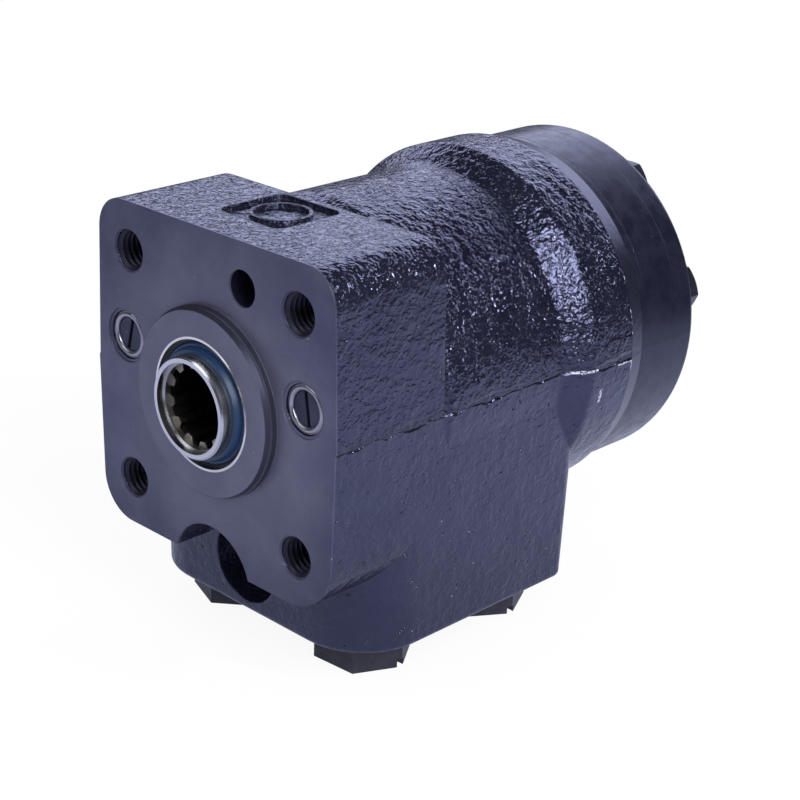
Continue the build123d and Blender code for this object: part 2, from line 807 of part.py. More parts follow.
# Gear rotor: six teeth outside, drive spline inside
rotor_front = stator_front + rotor_side_gap
rotor_back = cover_front - rotor_side_gap
rotor_plane = Plane(origin=(0, rotor_front, eccentricity), x_dir=(1, 0, 0), z_dir=(0, -1, 0))
with BuildPart() as gear_rotor:
    with BuildSketch(rotor_plane):
        with BuildLine():
            Spline(*rotor_outline(rotor_steps * (bolt_count - 1)), periodic=True)
        make_face()
    extrude(amount=rotor_front - rotor_back)
    with BuildSketch(rotor_plane):
        Circle(rotor_tooth_root)
        teeth(
            drive_teeth,
            0,
            rotor_tooth_root,
            rotor_tooth_tip,
            drive_pitch_wide + drive_lean * (rotor_tooth_root - drive_pitch),
            drive_pitch_wide - drive_lean * (drive_pitch - rotor_tooth_tip),
            Mode.SUBTRACT,
        )
    extrude(amount=rotor_front - rotor_back, mode=Mode.SUBTRACT)
save(gear_rotor, "gear_rotor")

with BuildPart() as rotor_spacer:
    with BuildSketch(Plane(origin=(0, rotor_back, eccentricity), x_dir=(1, 0, 0), z_dir=(0, -1, 0))):
        Circle(spacer_radius)
    extrude(amount=spacer_thick)
save(rotor_spacer, "rotor_spacer")

# End cover with rounded rim
with BuildPart() as end_cover:
    disc(gear_radius, cover_front, cover_back)
    fillet(end_cover.edges().filter_by(GeomType.CIRCLE).sort_by(Axis.Y)[-1], radius=cover_round)
    disc(bolt_clear, cover_front, cover_back, Mode.SUBTRACT, bolt_spots)
    ring(seal_inner, seal_outer, cover_front, cover_front + 2 * seal_wire, Mode.SUBTRACT)
save(end_cover, "end_cover")

# Round-wire seals of the gear set
for name, groove in (
    ("housing_o_ring", housing_back - seal_wire),
    ("stator_o_ring", stator_front + seal_wire),
    ("cover_o_ring", cover_front + seal_wire),
):
    with BuildPart() as o_ring:
        with BuildSketch(Plane.XY):
            with Locations((seal_circle, groove)):
                Circle(seal_wire)
        revolve(axis=Axis.Y)
    save(o_ring, name)

# Cover bolts and their washers
head_back = head_front + bolt_head
bolt_corner = bolt_flats / 2 / cos(radians(30))
with BuildPart() as bolt:
    with BuildSketch(across(head_front)):
        RegularPolygon(bolt_flats / 2, 6, major_radius=False)
    extrude(amount=-bolt_head)
    turned(
        [
            (0, head_front),
            (bolt_corner, head_front),
            (bolt_corner, head_back - bolt_head_chamfer),
            (bolt_flats / 2 - seat_gap, head_back),
            (0, head_back),
        ],
        mode=Mode.INTERSECT,
    )
    disc(bolt_radius, bolt_tip, head_front)
with BuildPart() as cover_bolts:
    with Locations(*[(x, 0, z) for x, z in bolt_spots]):
        add(bolt.part)
save(cover_bolts, "cover_bolts")

with BuildPart() as cover_bolt_washers:
    disc(washer_radius, cover_back, head_front, spots=bolt_spots)
    disc(bolt_clear, cover_back, head_front, Mode.SUBTRACT, bolt_spots)
save(cover_bolt_washers, "cover_bolt_washers")

# Check valve between the pressure and return ports
with BuildPart() as check_ball:
    with Locations((check_spot[0], check_ball_depth, check_spot[1])):
        Sphere(check_ball_radius)
save(check_ball, "check_ball")

with BuildPart() as check_ball_bushing:
    disc(check_bushing, check_bushing_front, check_bushing_back, spots=[check_spot])
    disc(check_seat / 2, check_bushing_front, check_bushing_back, Mode.SUBTRACT, [check_spot])
save(check_ball_bushing, "check_ball_bushing")

# Suction valves: a ball on its seat under a pin, at the bottom of two bolt holes
for side, spot in zip(("right", "left"), suction_spots):
    with BuildPart() as suction_valve_ball:
        with Locations((spot[0], suction_ball_depth, spot[1])):
            Sphere(suction_ball)
    save(suction_valve_ball, f"suction_ball_{side}")

with BuildPart() as suction_pins:
    disc(suction_bore - open_gap, suction_pin_front, bolt_tip, spots=suction_spots)
save(suction_pins, "suction_pins")

# Relief valve: seat, poppet, spring and adjusting plug
with BuildPart() as relief_valve_seat:
    disc(relief_bore - seat_gap, relief_seat_front, relief_bore_back, spots=relief_spot)
    disc(relief_seat_hole, relief_seat_front, relief_bore_back, Mode.SUBTRACT, relief_spot)
save(relief_valve_seat, "relief_valve_seat")

with BuildPart() as relief_valve_poppet:
    with BuildSketch(Plane.XY.offset(relief_z)):
        with BuildLine():
            Polyline(
                (0, poppet_back),
                (poppet_guide, poppet_back),
                (poppet_guide, poppet_shoulder - poppet_ramp),
                (poppet_cone, poppet_shoulder),
                (poppet_nose, poppet_shoulder + poppet_cone_long),
                (0, poppet_shoulder + poppet_cone_long),
                close=True,
            )
        make_face()
    revolve(axis=Axis((0, 0, relief_z), (0, 1, 0)))
save(relief_valve_poppet, "relief_valve_poppet")

with BuildPart() as relief_valve_plug:
    disc(relief_thread - running_fit, relief_plug_front, relief_plug_back, spots=relief_spot)
    with BuildSketch(across(relief_plug_front)):
        with Locations(*relief_spot):
            RegularPolygon(relief_socket / 2, 6, major_radius=False)
    extrude(amount=-relief_socket_deep, mode=Mode.SUBTRACT)
save(relief_valve_plug, "relief_valve_plug")


def coil_spring(x, z, start, end, coil, wire, turns):
    """Round-wire spring along the spool axis, between two faces that it just clears."""
    low = start + wire + sliding_gap
    high = end - wire - sliding_gap
    with BuildPart() as spring:
        with BuildLine() as path:
            Helix((high - low) / turns, high - low, coil, center=(x, low, z), direction=(0, 1, 0))
        with BuildSketch(Plane(origin=path.line @ 0, z_dir=path.line % 0)):
            RegularPolygon(wire, wire_sides)
        sweep()
    return spring


relief_valve_spring = coil_spring(
    0, relief_z, relief_plug_back, poppet_back, relief_coil, relief_wire, relief_turns
)
save(relief_valve_spring, "relief_valve_spring")

# Shock valves: a cap closes each bore over a spring and a ball
for side, sign in sides.items():
    spot = [(sign * shock_x, shock_z)]
    with BuildPart() as cap:
        disc(shock_bore - running_fit, cap_front, cap_back, spots=spot)
        disc(cap_recess, cap_front, cap_front + cap_recess_deep, Mode.SUBTRACT, spot)
        fillet(cap.faces().sort_by(Axis.Y)[0].edges(), radius=cap_rim_round)
        with BuildSketch(across(cap_front + cap_recess_deep)):
            with Locations(*spot):
                Rectangle(cap_slot_wide, 2 * cap_recess - cap_slot_wide)
        extrude(amount=-cap_slot_deep, mode=Mode.SUBTRACT)
    save(cap, f"shock_valve_cap_{side}")
    shock_ball_depth = shock_bore_back - sqrt(shock_ball**2 - shock_seat**2) - sliding_gap
    with BuildPart() as ball:
        with Locations((sign * shock_x, shock_ball_depth, shock_z)):
            Sphere(shock_ball)
    save(ball, f"shock_valve_ball_{side}")
    spring_end = shock_ball_depth - sqrt(shock_ball**2 - shock_coil**2)
    spring = coil_spring(
        sign * shock_x, shock_z, cap_back, spring_end, shock_coil, shock_wire, shock_turns
    )
    save(spring, f"shock_valve_spring_{side}")

# Port plugs with a driver slot, and the flat seals under their heads
for name, (x, y) in port_spots.items():
    turn = plug_turns[name]
    with BuildPart() as plug:
        with BuildSketch(Plane.XY.offset(plug_low)):
            with Locations((x, y)):
                RegularPolygon(plug_flats / 2, 6, major_radius=False, rotation=turn)
        extrude(amount=port_face - plug_low)
        with BuildSketch(Plane.XY.offset(port_face)):
            with Locations((x, y)):
                Circle(plug_shank)
        extrude(amount=plug_shank_long)
        with BuildSketch(Plane.XY.offset(plug_low)):
            with Locations((x, y)):
                Rectangle(2 * plug_flats, plug_slot_wide, rotation=turn)
        extrude(amount=plug_slot_deep, mode=Mode.SUBTRACT)
    save(plug, f"port_plug_{name}")

with BuildPart() as port_plug_seals:
    with BuildSketch(Plane.XY.offset(port_face)):
        with Locations(*port_spots.values()):
            Circle(spot_face - seat_gap)
            Circle(plug_shank + sliding_gap, mode=Mode.SUBTRACT)
    extrude(amount=spot_face_deep)
save(port_plug_seals, "port_plug_seals")
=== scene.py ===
# %% [markdown]
# # Orbital steering unit: paint, machining and small parts round a packed model
#
# The unit is a cast iron block that a steering column bolts onto. A splined spool turns in its
# middle, a gerotor set meters oil behind it, and four hoses screw in below. The packed model holds
# every solid piece at its real place. This lesson gives those pieces their finishes and adds what
# is too fine for the solids.
#
# The model comes first and is never moved. All lengths here are metres, so a helper turns
# millimetres into them.

import json
from math import cos, pi, radians, sin

import bmesh
import bpy
from mathutils import Matrix, Vector


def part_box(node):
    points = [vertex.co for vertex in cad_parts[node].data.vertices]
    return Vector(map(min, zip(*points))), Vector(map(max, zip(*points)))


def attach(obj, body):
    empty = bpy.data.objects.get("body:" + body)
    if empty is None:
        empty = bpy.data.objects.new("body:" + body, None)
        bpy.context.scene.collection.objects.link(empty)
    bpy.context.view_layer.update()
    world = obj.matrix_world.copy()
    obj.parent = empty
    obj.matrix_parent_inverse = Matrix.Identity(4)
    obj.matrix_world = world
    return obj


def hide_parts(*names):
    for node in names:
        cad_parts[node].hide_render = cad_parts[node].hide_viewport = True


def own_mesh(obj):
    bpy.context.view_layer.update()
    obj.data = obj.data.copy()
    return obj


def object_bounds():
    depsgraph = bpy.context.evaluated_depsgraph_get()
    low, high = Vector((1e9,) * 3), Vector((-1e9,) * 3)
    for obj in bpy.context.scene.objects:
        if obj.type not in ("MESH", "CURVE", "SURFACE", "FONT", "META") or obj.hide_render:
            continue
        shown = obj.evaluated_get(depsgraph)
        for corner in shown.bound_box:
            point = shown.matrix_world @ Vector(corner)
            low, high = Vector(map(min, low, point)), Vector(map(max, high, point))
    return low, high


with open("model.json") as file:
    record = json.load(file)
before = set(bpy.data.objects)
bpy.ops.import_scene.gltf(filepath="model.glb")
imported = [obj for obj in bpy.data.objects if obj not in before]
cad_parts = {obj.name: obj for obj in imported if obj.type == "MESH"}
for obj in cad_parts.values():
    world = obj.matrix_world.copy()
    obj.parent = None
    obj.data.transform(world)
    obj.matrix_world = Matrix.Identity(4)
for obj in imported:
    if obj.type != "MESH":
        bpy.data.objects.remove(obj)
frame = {"nodes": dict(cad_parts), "record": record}
cad_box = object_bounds()
scene = bpy.context.scene


def mm(*lengths):
    """Millimetres to metres: one number, or a vector for several."""
    metres = [length / 1000 for length in lengths]
    return metres[0] if len(metres) == 1 else Vector(metres)


print("solid model, mm", [round(v * 1000, 1) for corner in cad_box for v in corner])

# %% [markdown]
# ## The camera
#
# A product shot of a block like this is taken from its front right corner, a little above, with a
# long lens so that its edges stay nearly parallel. A camera could be aimed with a Track To
# constraint. Here it is placed by its bearing, its height angle and a small roll instead, because
# those three numbers say plainly where it stands. The unit sits low in the frame, and the lens
# shift says how far, as on a view camera.

# %% Camera
IMAGE_PIXELS = 800
SENSOR = 36.0                        # mm
FOCAL_PIXELS = 1881.2
CENTRE_PIXEL = (368.8, 474.3)        # where the lens axis meets the picture
CAMERA_AT = mm(307.78, -259.76, 165.41)
BEARING = radians(44.57)
HEIGHT_ANGLE = radians(24.48)
ROLL = radians(1.75)


def toward(bearing, height_angle):
    """Direction from the unit: bearing 0 is the front and 90 degrees the right side."""
    level = cos(height_angle)
    return Vector((sin(bearing) * level, -cos(bearing) * level, sin(height_angle)))


def looking_back(direction):
    """Turn of a camera or lamp that stands in this direction and looks back along it."""
    return (-direction).to_track_quat("-Z", "Y").to_matrix().to_4x4()


camera_data = bpy.data.cameras.new("camera")
camera_data.sensor_width = SENSOR
camera_data.lens = SENSOR * FOCAL_PIXELS / IMAGE_PIXELS
camera_data.shift_x = (IMAGE_PIXELS / 2 - CENTRE_PIXEL[0]) / IMAGE_PIXELS
camera_data.shift_y = (CENTRE_PIXEL[1] - IMAGE_PIXELS / 2) / IMAGE_PIXELS
camera = bpy.data.objects.new("camera", camera_data)
scene.collection.objects.link(camera)
aim = looking_back(toward(BEARING, HEIGHT_ANGLE))
camera.matrix_world = Matrix.Translation(CAMERA_AT) @ aim @ Matrix.Rotation(ROLL, 4, "Z")
scene.camera = camera
print("lens mm", round(camera_data.lens, 2))
print("shift", round(camera_data.shift_x, 4), round(camera_data.shift_y, 4))

# %% [markdown]
# ## A small kit for node graphs
#
# Floor, world and finishes are made of the same few steps: a soft step that picks a zone, noise,
# products of shares and blends of colours. Each helper adds one node, or a few, and hands back its
# output, so that a finish reads as a list of what it is made of.


# %% Node helpers
class Graph:
    """The node tree of a material or a world, with helpers that add nodes to it."""

    def __init__(self, owner):
        owner.use_nodes = True
        self.nodes = owner.node_tree.nodes
        self.links = owner.node_tree.links
        self.nodes.clear()

    def feed(self, value, socket):
        """Connects an output to a socket, or sets the socket to a number, colour or vector."""
        if isinstance(value, bpy.types.NodeSocket):
            self.links.new(value, socket)
        elif socket.type == "RGBA":
            socket.default_value = (*value, 1)
        else:
            socket.default_value = value

    def add(self, kind, sockets=None, **settings):
        """A new node with its settings made and its input sockets fed."""
        node = self.nodes.new(f"ShaderNode{kind}")
        for setting, value in settings.items():
            setattr(node, setting, value)
        for socket, value in (sockets or {}).items():
            self.feed(value, node.inputs[socket])
        return node

    def math(self, operation, first, *others):
        """One operation on a value alone, or on several values from left to right."""
        total = first
        for other in others or (0.0,):
            total = self.add("Math", {0: total, 1: other}, operation=operation).outputs[0]
        return total

    def times(self, *shares):
        """Product, such as the zone where all of these zones meet."""
        return self.math("MULTIPLY", *shares)

    def most(self, *shares):
        """Maximum, such as the zone that all of these zones make together."""
        return self.math("MAXIMUM", *shares)

    def rest_of(self, share):
        """Everything outside a zone."""
        return self.math("SUBTRACT", 1.0, share)

    def away(self, value, middle):
        """Distance of a value from a middle, to either side."""
        return self.math("ABSOLUTE", self.math("SUBTRACT", value, middle))

    def step(self, value, start, end, low=0.0, high=1.0):
        """Soft step from low to high as the value goes from start to end."""
        ends = {"From Min": start, "From Max": end, "To Min": low, "To Max": high}
        sockets = {"Value": value, **ends}
        return self.add("MapRange", sockets, interpolation_type="SMOOTHSTEP").outputs[0]

    def fade(self, value, start, end, left=0.0):
        """Whole before start, and down to what is left after end."""
        return self.step(value, start, end, 1.0, left)

    def blend(self, factor, low, high):
        """Colour between two colours, each of them plain or an output."""
        sockets = {"Factor": factor, "A": low, "B": high}
        return self.add("Mix", sockets, data_type="RGBA").outputs["Result"]

    def mix(self, factor, low, high):
        """Number between two numbers, each of them plain or an output."""
        return self.add("Mix", {"Factor": factor, "A": low, "B": high}).outputs["Result"]


print("node helpers", [name for name in vars(Graph) if not name.startswith("_")])

# %% [markdown]
# ## Floor, world and softboxes
#
# The unit stands on its four port plugs. A pale floor carries its shadow, and everything behind it
# is white to the camera. Glossy black paint shows whatever surrounds it, so the dark room above a
# white table matters as much as the lamps: a world that is white all round would turn black enamel
# grey. The table is therefore bright in reflections only near the unit, and the room over it is
# dark. Three softboxes give long highlights, and a small strong lamp gives the glints on the cast
# skin.

# %% Stage
scene.view_settings.view_transform = "Standard"
WHITE = (1.0, 1.0, 1.0)
COOL = (0.70, 0.74, 1.0)             # the colour of the light that the table and the back lamp give
FLOOR_HALF = 4.0
FLOOR_COLOR = (0.9, 0.9, 0.9)
FLOOR_GLOW = 0.92                    # the rest of its light comes from the lamps, less the shadow
FAR_REACH = (0.30, 1.20)             # over this distance the floor turns as white as the backdrop
TABLE_REACH = (0.17, 0.62)           # over this distance it grows dark in reflections
TABLE_LEFT = 0.06
SHADE_REACH = (0.06, 0.21)           # over this distance the shade round the unit ends, in reflections
SHADE_DARK = 0.55

floor_mesh = bmesh.new()
bmesh.ops.create_grid(floor_mesh, x_segments=1, y_segments=1, size=FLOOR_HALF)
bmesh.ops.translate(floor_mesh, verts=floor_mesh.verts, vec=(0, 0, cad_box[0].z))
floor_data = bpy.data.meshes.new("floor")
floor_mesh.to_mesh(floor_data)
floor_mesh.free()
floor = bpy.data.objects.new("floor", floor_data)
scene.collection.objects.link(floor)


def seen_rays(graph):
    """Two shares: 1 for camera rays, and 1 for camera, glossy and transmission rays."""
    path = graph.add("LightPath").outputs
    seen = graph.most(path["Is Camera Ray"], path["Is Glossy Ray"], path["Is Transmission Ray"])
    return path["Is Camera Ray"], seen


def floor_finish():
    """Matt and lit by the lamps, with a glow for the rays that see or mirror it."""
    material = bpy.data.materials.new("floor_paint")
    g = Graph(material)
    camera_ray, seen = seen_rays(g)
    place = g.add("TexCoord").outputs["Object"]
    reach = g.add("VectorMath", {0: place}, operation="LENGTH").outputs["Value"]
    table = g.fade(reach, *TABLE_REACH, TABLE_LEFT)
    shade = g.step(reach, *SHADE_REACH, SHADE_DARK)
    light = g.most(g.times(table, shade), camera_ray)
    tint = g.blend(camera_ray, COOL, WHITE)
    glow = g.add("Emission", {"Color": tint, "Strength": light}).outputs[0]
    matt = g.add("BsdfDiffuse", {"Color": FLOOR_COLOR}).outputs[0]
    share = g.times(seen, g.step(reach, *FAR_REACH, FLOOR_GLOW))
    surface = g.add("MixShader", {0: share, 1: matt, 2: glow}).outputs[0]
    g.add("OutputMaterial", {0: surface})
    return material


floor_data.materials.append(floor_finish())
print("floor at mm", round(cad_box[0].z * 1000, 2))

# %% World
ROOM_COLOR = (0.96, 0.97, 1.0)
FILL_STRENGTH = 0.50
CEILING_DARK = 0.05
HORIZON = (-0.10, 0.02)              # over this rise of a mirrored ray the room grows dark


def room_light(world):
    """White to the camera, dark above the horizon in reflections, and an even fill for the rest."""
    g = Graph(world)
    camera_ray, seen = seen_rays(g)
    direction = g.add("TexCoord").outputs["Generated"]
    rise = g.add("SeparateXYZ", {0: direction}).outputs["Z"]
    fill = g.add("Background", {"Color": ROOM_COLOR, "Strength": FILL_STRENGTH}).outputs[0]
    mirrored = g.add("Background", {"Strength": g.fade(rise, *HORIZON, CEILING_DARK)}).outputs[0]
    white = g.add("Background", {"Color": WHITE}).outputs[0]
    looked_at = g.add("MixShader", {0: camera_ray, 1: mirrored, 2: white}).outputs[0]
    surround = g.add("MixShader", {0: seen, 1: fill, 2: looked_at}).outputs[0]
    g.add("OutputWorld", {0: surround})


scene.world = bpy.data.worlds.new("studio")
room_light(scene.world)
print("fill strength", FILL_STRENGTH)

# %% Softboxes
NEUTRAL = (0.92, 0.94, 1.0)
LAMP_TARGET = mm(0, 60, 0)
# Bearing and height angle in degrees, distance, width and height in metres, glow and colour
LAMPS = {
    "back_softbox": (217, 27, 1.3, 2.3, 0.75, 2.05, COOL),
    "right_softbox": (72, 36, 1.1, 0.42, 0.85, 9.0, NEUTRAL),
    "front_softbox": (-20, 40, 1.6, 1.0, 0.8, 2.2, NEUTRAL),
    "glint_lamp": (112, 34, 1.2, 0.13, 0.18, 60.0, NEUTRAL),
}


def softbox(name, bearing, height_angle, distance, wide, high, glow, tint):
    """Rectangular lamp that looks at the unit. Its glow is how bright it looks, whatever its size."""
    data = bpy.data.lights.new(name, "AREA")
    data.shape = "RECTANGLE"
    data.size = wide
    data.size_y = high
    data.energy = glow * pi * wide * high
    data.color = tint
    lamp = bpy.data.objects.new(name, data)
    scene.collection.objects.link(lamp)
    direction = toward(radians(bearing), radians(height_angle))
    place = Matrix.Translation(LAMP_TARGET + direction * distance)
    lamp.matrix_world = place @ looking_back(direction)


for lamp_name, lamp_settings in LAMPS.items():
    softbox(lamp_name, *lamp_settings)
print("lamps", list(LAMPS))

# %% [markdown]
# ## A kit for finishes
#
# Every finish works on the Object coordinates, which say in metres where a point is on the part. A
# zone is chosen from that place, so one material can be rough where the iron was cast and smooth
# where a cutter passed.


# %% Finish helpers
class Finish(Graph):
    """A node material with one Principled shader on the Object coordinates."""

    def __init__(self, name):
        self.material = bpy.data.materials.new(name)
        super().__init__(self.material)
        self.shader = self.add("BsdfPrincipled")
        self.add("OutputMaterial", {0: self.shader.outputs[0]})
        self.place = self.add("TexCoord").outputs["Object"]
        self.x, self.y, self.z = self.add("SeparateXYZ", {0: self.place}).outputs

    def stretch(self, scale, offset=(0, 0, 0)):
        """Coordinates through a Mapping node."""
        sockets = {"Scale": scale, "Location": offset, "Vector": self.place}
        return self.add("Mapping", sockets).outputs[0]

    def noise(self, size, detail=2.0, rough=0.5, place=None, distortion=0.0):
        """Noise whose lumps are about this many metres across."""
        sockets = {"Vector": place or self.place, "Scale": 1 / size, "Detail": detail}
        sockets.update({"Roughness": rough, "Distortion": distortion})
        return self.add("TexNoise", sockets).outputs["Fac"]

    def patches(self, size, levels, values=(0.0, 1.0), **noise):
        """Noise that goes softly from one value to the other as it rises through two levels."""
        return self.step(self.noise(size, **noise), *levels, *values)

    def specks(self, spacing, levels, place=None):
        """Round specks, one in each cell of this spacing. The levels are shares of the spacing."""
        sockets = {"Scale": 1 / spacing, "Vector": place or self.place}
        return self.fade(self.add("TexVoronoi", sockets).outputs["Distance"], *levels)

    def from_axis(self, x=0.0, z=0.0):
        """Distance from an axis that runs along Y through (x, z)."""
        across = self.math("SUBTRACT", self.x, x)
        up = self.math("SUBTRACT", self.z, z)
        squares = self.math("ADD", self.times(across, across), self.times(up, up))
        return self.math("SQRT", squares)

    def bump(self, height, depth, strength=1.0, normal=None):
        """Normal of a surface whose height, from 0 to 1, stands for this many metres."""
        sockets = {"Height": height, "Distance": depth, "Strength": strength}
        if normal:
            sockets["Normal"] = normal
        return self.add("Bump", sockets).outputs[0]

    def soft_edge(self, width):
        """Normal that rounds sharp edges by this much, as paint or a wiped edge does."""
        return self.add("Bevel", {"Radius": width}, samples=4).outputs[0]

    def use(self, sockets):
        """Feeds the shader and hands back the material."""
        for socket, value in sockets.items():
            self.feed(value, self.shader.inputs[socket])
        return self.material


def paint(node, material):
    """Gives a packed node its material."""
    obj = frame["nodes"][node]
    obj.data.materials.clear()
    obj.data.materials.append(material)
    for face in obj.data.polygons:
        face.material_index = 0


print("finish helpers", [name for name in vars(Finish) if not name.startswith("_")])

# %% [markdown]
# ## Black enamel on cast iron
#
# The whole unit was dipped or sprayed after assembly, so castings, gear set and bolts share one
# violet black enamel. On the castings it flows over sand-cast skin: shallow lumps a millimetre or
# two across, finer grain, and a few open pits. The upper half of the mould was rougher than the
# lower half. On the machined flange face the enamel is thin and satin, and on the ground gear set
# it lies nearly flat. A tint on the specular keeps the reflections cool, and a high index of
# refraction stands for the wet look of stove enamel.

# %% Enamel colours
ENAMEL = (0.0060, 0.0064, 0.0150)
ENAMEL_CLOUD = (0.0100, 0.0105, 0.0210)
ENAMEL_SATIN = (0.0200, 0.0205, 0.0430)
# light smears on the front face, and a painted highlight there
ENAMEL_SMEAR_AND_SHEEN = (0.0900, 0.0900, 0.1280)
# painted shade in the pits and along the parting line
ENAMEL_PAINTED_SHADE = (0.002, 0.002, 0.004)
PILOT_SHADE = (0.010, 0.0095, 0.012)
# bare metal of chips, and light specks that are painted glints
CHIP_AND_GLINT = (0.46, 0.46, 0.54)
REFLECTION_TINT = (0.62, 0.65, 1.0)
ENAMEL_INDEX = 1.85
GROUND_INDEX = 1.56
print("enamel colours", ENAMEL, ENAMEL_SATIN)

# %% Zones of the housing
housing_low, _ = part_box("housing")
FLANGE_FACE = mm(0.4)                # the milled front face reaches back to here
FLANGE_BACK = mm(35.0)
PORT_FACE = housing_low.z + mm(0.5)
CAST_END = mm(97.2)                  # the turned rear rim starts here
PARTING = mm(0.6)                    # height of the parting line
# Where each zone comes in or goes out, along Y or up Z
FACE_FADE = (FLANGE_FACE, FLANGE_FACE + mm(0.25))
SKIN_FADE = (CAST_END - mm(0.5), CAST_END + mm(0.1))
PORT_FADE = (PORT_FACE - mm(0.2), PORT_FACE)
UPPER_FADE = (PARTING, PARTING + mm(7))
FLANGE_FADE = (FLANGE_BACK - mm(1), FLANGE_BACK + mm(2))
TOP_FADE = (mm(27), mm(36))
TURNED_FADE = (CAST_END - mm(0.3), CAST_END + mm(0.1))
TURNED_SKIN = 0.10                   # share of the cast skin that is left on the turned rim
TOP_ROUGH = 0.8


def housing_zones(f):
    """Shares of cast skin, rough upper skin, milled front face and turned rear rim."""
    behind_face = f.step(f.y, *FACE_FADE)
    before_end = f.fade(f.y, *SKIN_FADE, TURNED_SKIN)
    above_ports = f.step(f.z, *PORT_FADE)
    cast = f.times(behind_face, before_end, above_ports)
    upper_half = f.step(f.z, *UPPER_FADE)
    behind_flange = f.step(f.y, *FLANGE_FADE)
    top = f.step(f.z, *TOP_FADE)
    rough = f.most(f.times(upper_half, behind_flange), f.times(top, TOP_ROUGH))
    turned = f.step(f.y, *TURNED_FADE)
    return cast, rough, f.rest_of(behind_face), turned


print("cast skin ends at mm", CAST_END * 1000, "parting line at mm", PARTING * 1000)

# %% Cast skin
WAVE = mm(7)
WAVE_DEPTH = mm(0.55)
WAVE_SHARE = 0.45
LUMP = mm(2.0)
LUMP_DEPTH = mm(0.22)
GRAIN = mm(0.85)
GRAIN_DEPTH = mm(0.13)
FLOW = (1.0, 0.85, 0.9)              # the enamel drew the lumps out a little
LOWER_DEPTH = 0.55                   # share of the depth in the smoother lower half
UPPER_DEPTH = 0.45                   # what the upper half has on top of it
PIT_SPACING = mm(3.1)
PIT_DEPTH = mm(0.30)


def cast_skin(f, cast, rough, base):
    """Normal of enamel that flowed over sand-cast iron, and the share of open pits."""
    skin = f.bump(f.noise(WAVE, detail=1), WAVE_DEPTH, f.times(cast, WAVE_SHARE), base)
    flow = f.stretch(FLOW)
    lumps = f.patches(LUMP, (0.34, 0.72), detail=2, rough=0.55, place=flow, distortion=0.35)
    grain = f.patches(GRAIN, (0.50, 0.80), detail=1.5, rough=0.55, place=flow)
    depth = f.times(cast, f.math("ADD", f.times(rough, UPPER_DEPTH), LOWER_DEPTH))
    skin = f.bump(lumps, LUMP_DEPTH, depth, skin)
    skin = f.bump(grain, GRAIN_DEPTH, depth, skin)
    pitted = f.patches(mm(2.3), (0.52, 0.60), detail=1)
    pits = f.times(f.specks(PIT_SPACING, (0.10, 0.22)), pitted, cast)
    skin = f.bump(f.rest_of(pits), PIT_DEPTH, 0.9, skin)
    return skin, pits


print("cast skin depth mm", LUMP_DEPTH * 1000)

# %% Parting line and chips
RAGGED = mm(2.4)                     # how far the line wanders up and down
LINE_WIDTHS = (mm(0.6), mm(1.5))
SIDE_WALL = (mm(36), mm(39))         # the line shows only on the flat sides
CHIP_FADE = mm(0.6)
RIM_WEAR = (mm(0.06), mm(0.17))      # half width of the worn edge of the turned rim
# Each run: middle and half length along the part, height, half width
CHIP_RUNS = (
    (mm(80.2), mm(3.6), mm(0.1), mm(0.26)),
    (mm(94.6), mm(2.4), mm(-0.6), mm(0.14)),
    (mm(86.3), mm(0.15), mm(-7.4), mm(1.3)),
)


def parting_line(f, cast):
    """Share of the ragged line where the two halves of the mould met."""
    wander = f.times(f.math("SUBTRACT", f.noise(mm(5), detail=3, rough=0.6), 0.5), RAGGED)
    from_line = f.math("ABSOLUTE", f.math("ADD", f.math("SUBTRACT", f.z, PARTING), wander))
    width = f.patches(mm(9), (0.35, 0.65), LINE_WIDTHS)
    line = f.fade(f.math("DIVIDE", from_line, width), 0.4, 1.0)
    side = f.step(f.math("ABSOLUTE", f.x), *SIDE_WALL)
    return f.times(line, side, cast)


def bare_chips(f):
    """Share of bare metal: runs of chips on the right side, and a worn edge on the turned rim."""
    right = f.step(f.x, 0.0, mm(1))
    worn = []
    for middle, half, height, wide in CHIP_RUNS:
        along = f.fade(f.away(f.y, middle), half, half + CHIP_FADE)
        near = f.fade(f.away(f.z, height), wide, wide * 1.7)
        worn.append(f.times(along, near, right))
    edge = f.fade(f.away(f.y, CAST_END), *RIM_WEAR)
    worn.append(f.times(edge, f.patches(mm(4.2), (0.55, 0.60))))
    broken = f.patches(mm(0.8), (0.44, 0.52), detail=3, rough=0.7)
    return f.times(f.most(*worn), broken)


print("runs of chips", len(CHIP_RUNS))

# %% Enamel on the housing
MILLED_EDGE = mm(0.3)
CAST_EDGE = mm(1.0)
PEEL = mm(0.35)                      # orange peel of the paint itself
PEEL_DEPTH = mm(0.006)
LINE_DEPTH = mm(0.5)
LINE_STRENGTH = 0.8
PAINTED_SHEEN_CENTRE = (mm(4), mm(-2))       # painted highlight: the front face is lighter, most of all round this point
PAINTED_SHEEN_RADII = (mm(22), mm(47))
PAINTED_SHEEN_SHARE = 0.50
SMEAR_SHARE = 0.35
PILOT_WALL = mm(22.1)
PILOT_FACE = mm(-3.2)
BEFORE_FLANGE = (mm(-0.25), mm(-0.05))
BEHIND_PILOT = (PILOT_FACE + mm(0.03), PILOT_FACE + mm(0.10))
OUTSIDE_PILOT = (PILOT_WALL, PILOT_WALL + mm(0.1))
PILOT_SHARE = 0.9
PAINTED_SHADE_SHARE = 0.75
GLINT_SPECK_SHARE = 0.7
GLINT_SPECK_OFFSET = (0.3, 0.1, 0.7)        # takes the painted glints from another part of the pattern
TURNED_ROUGHNESS = 0.30
CHIP_ROUGHNESS = 0.6


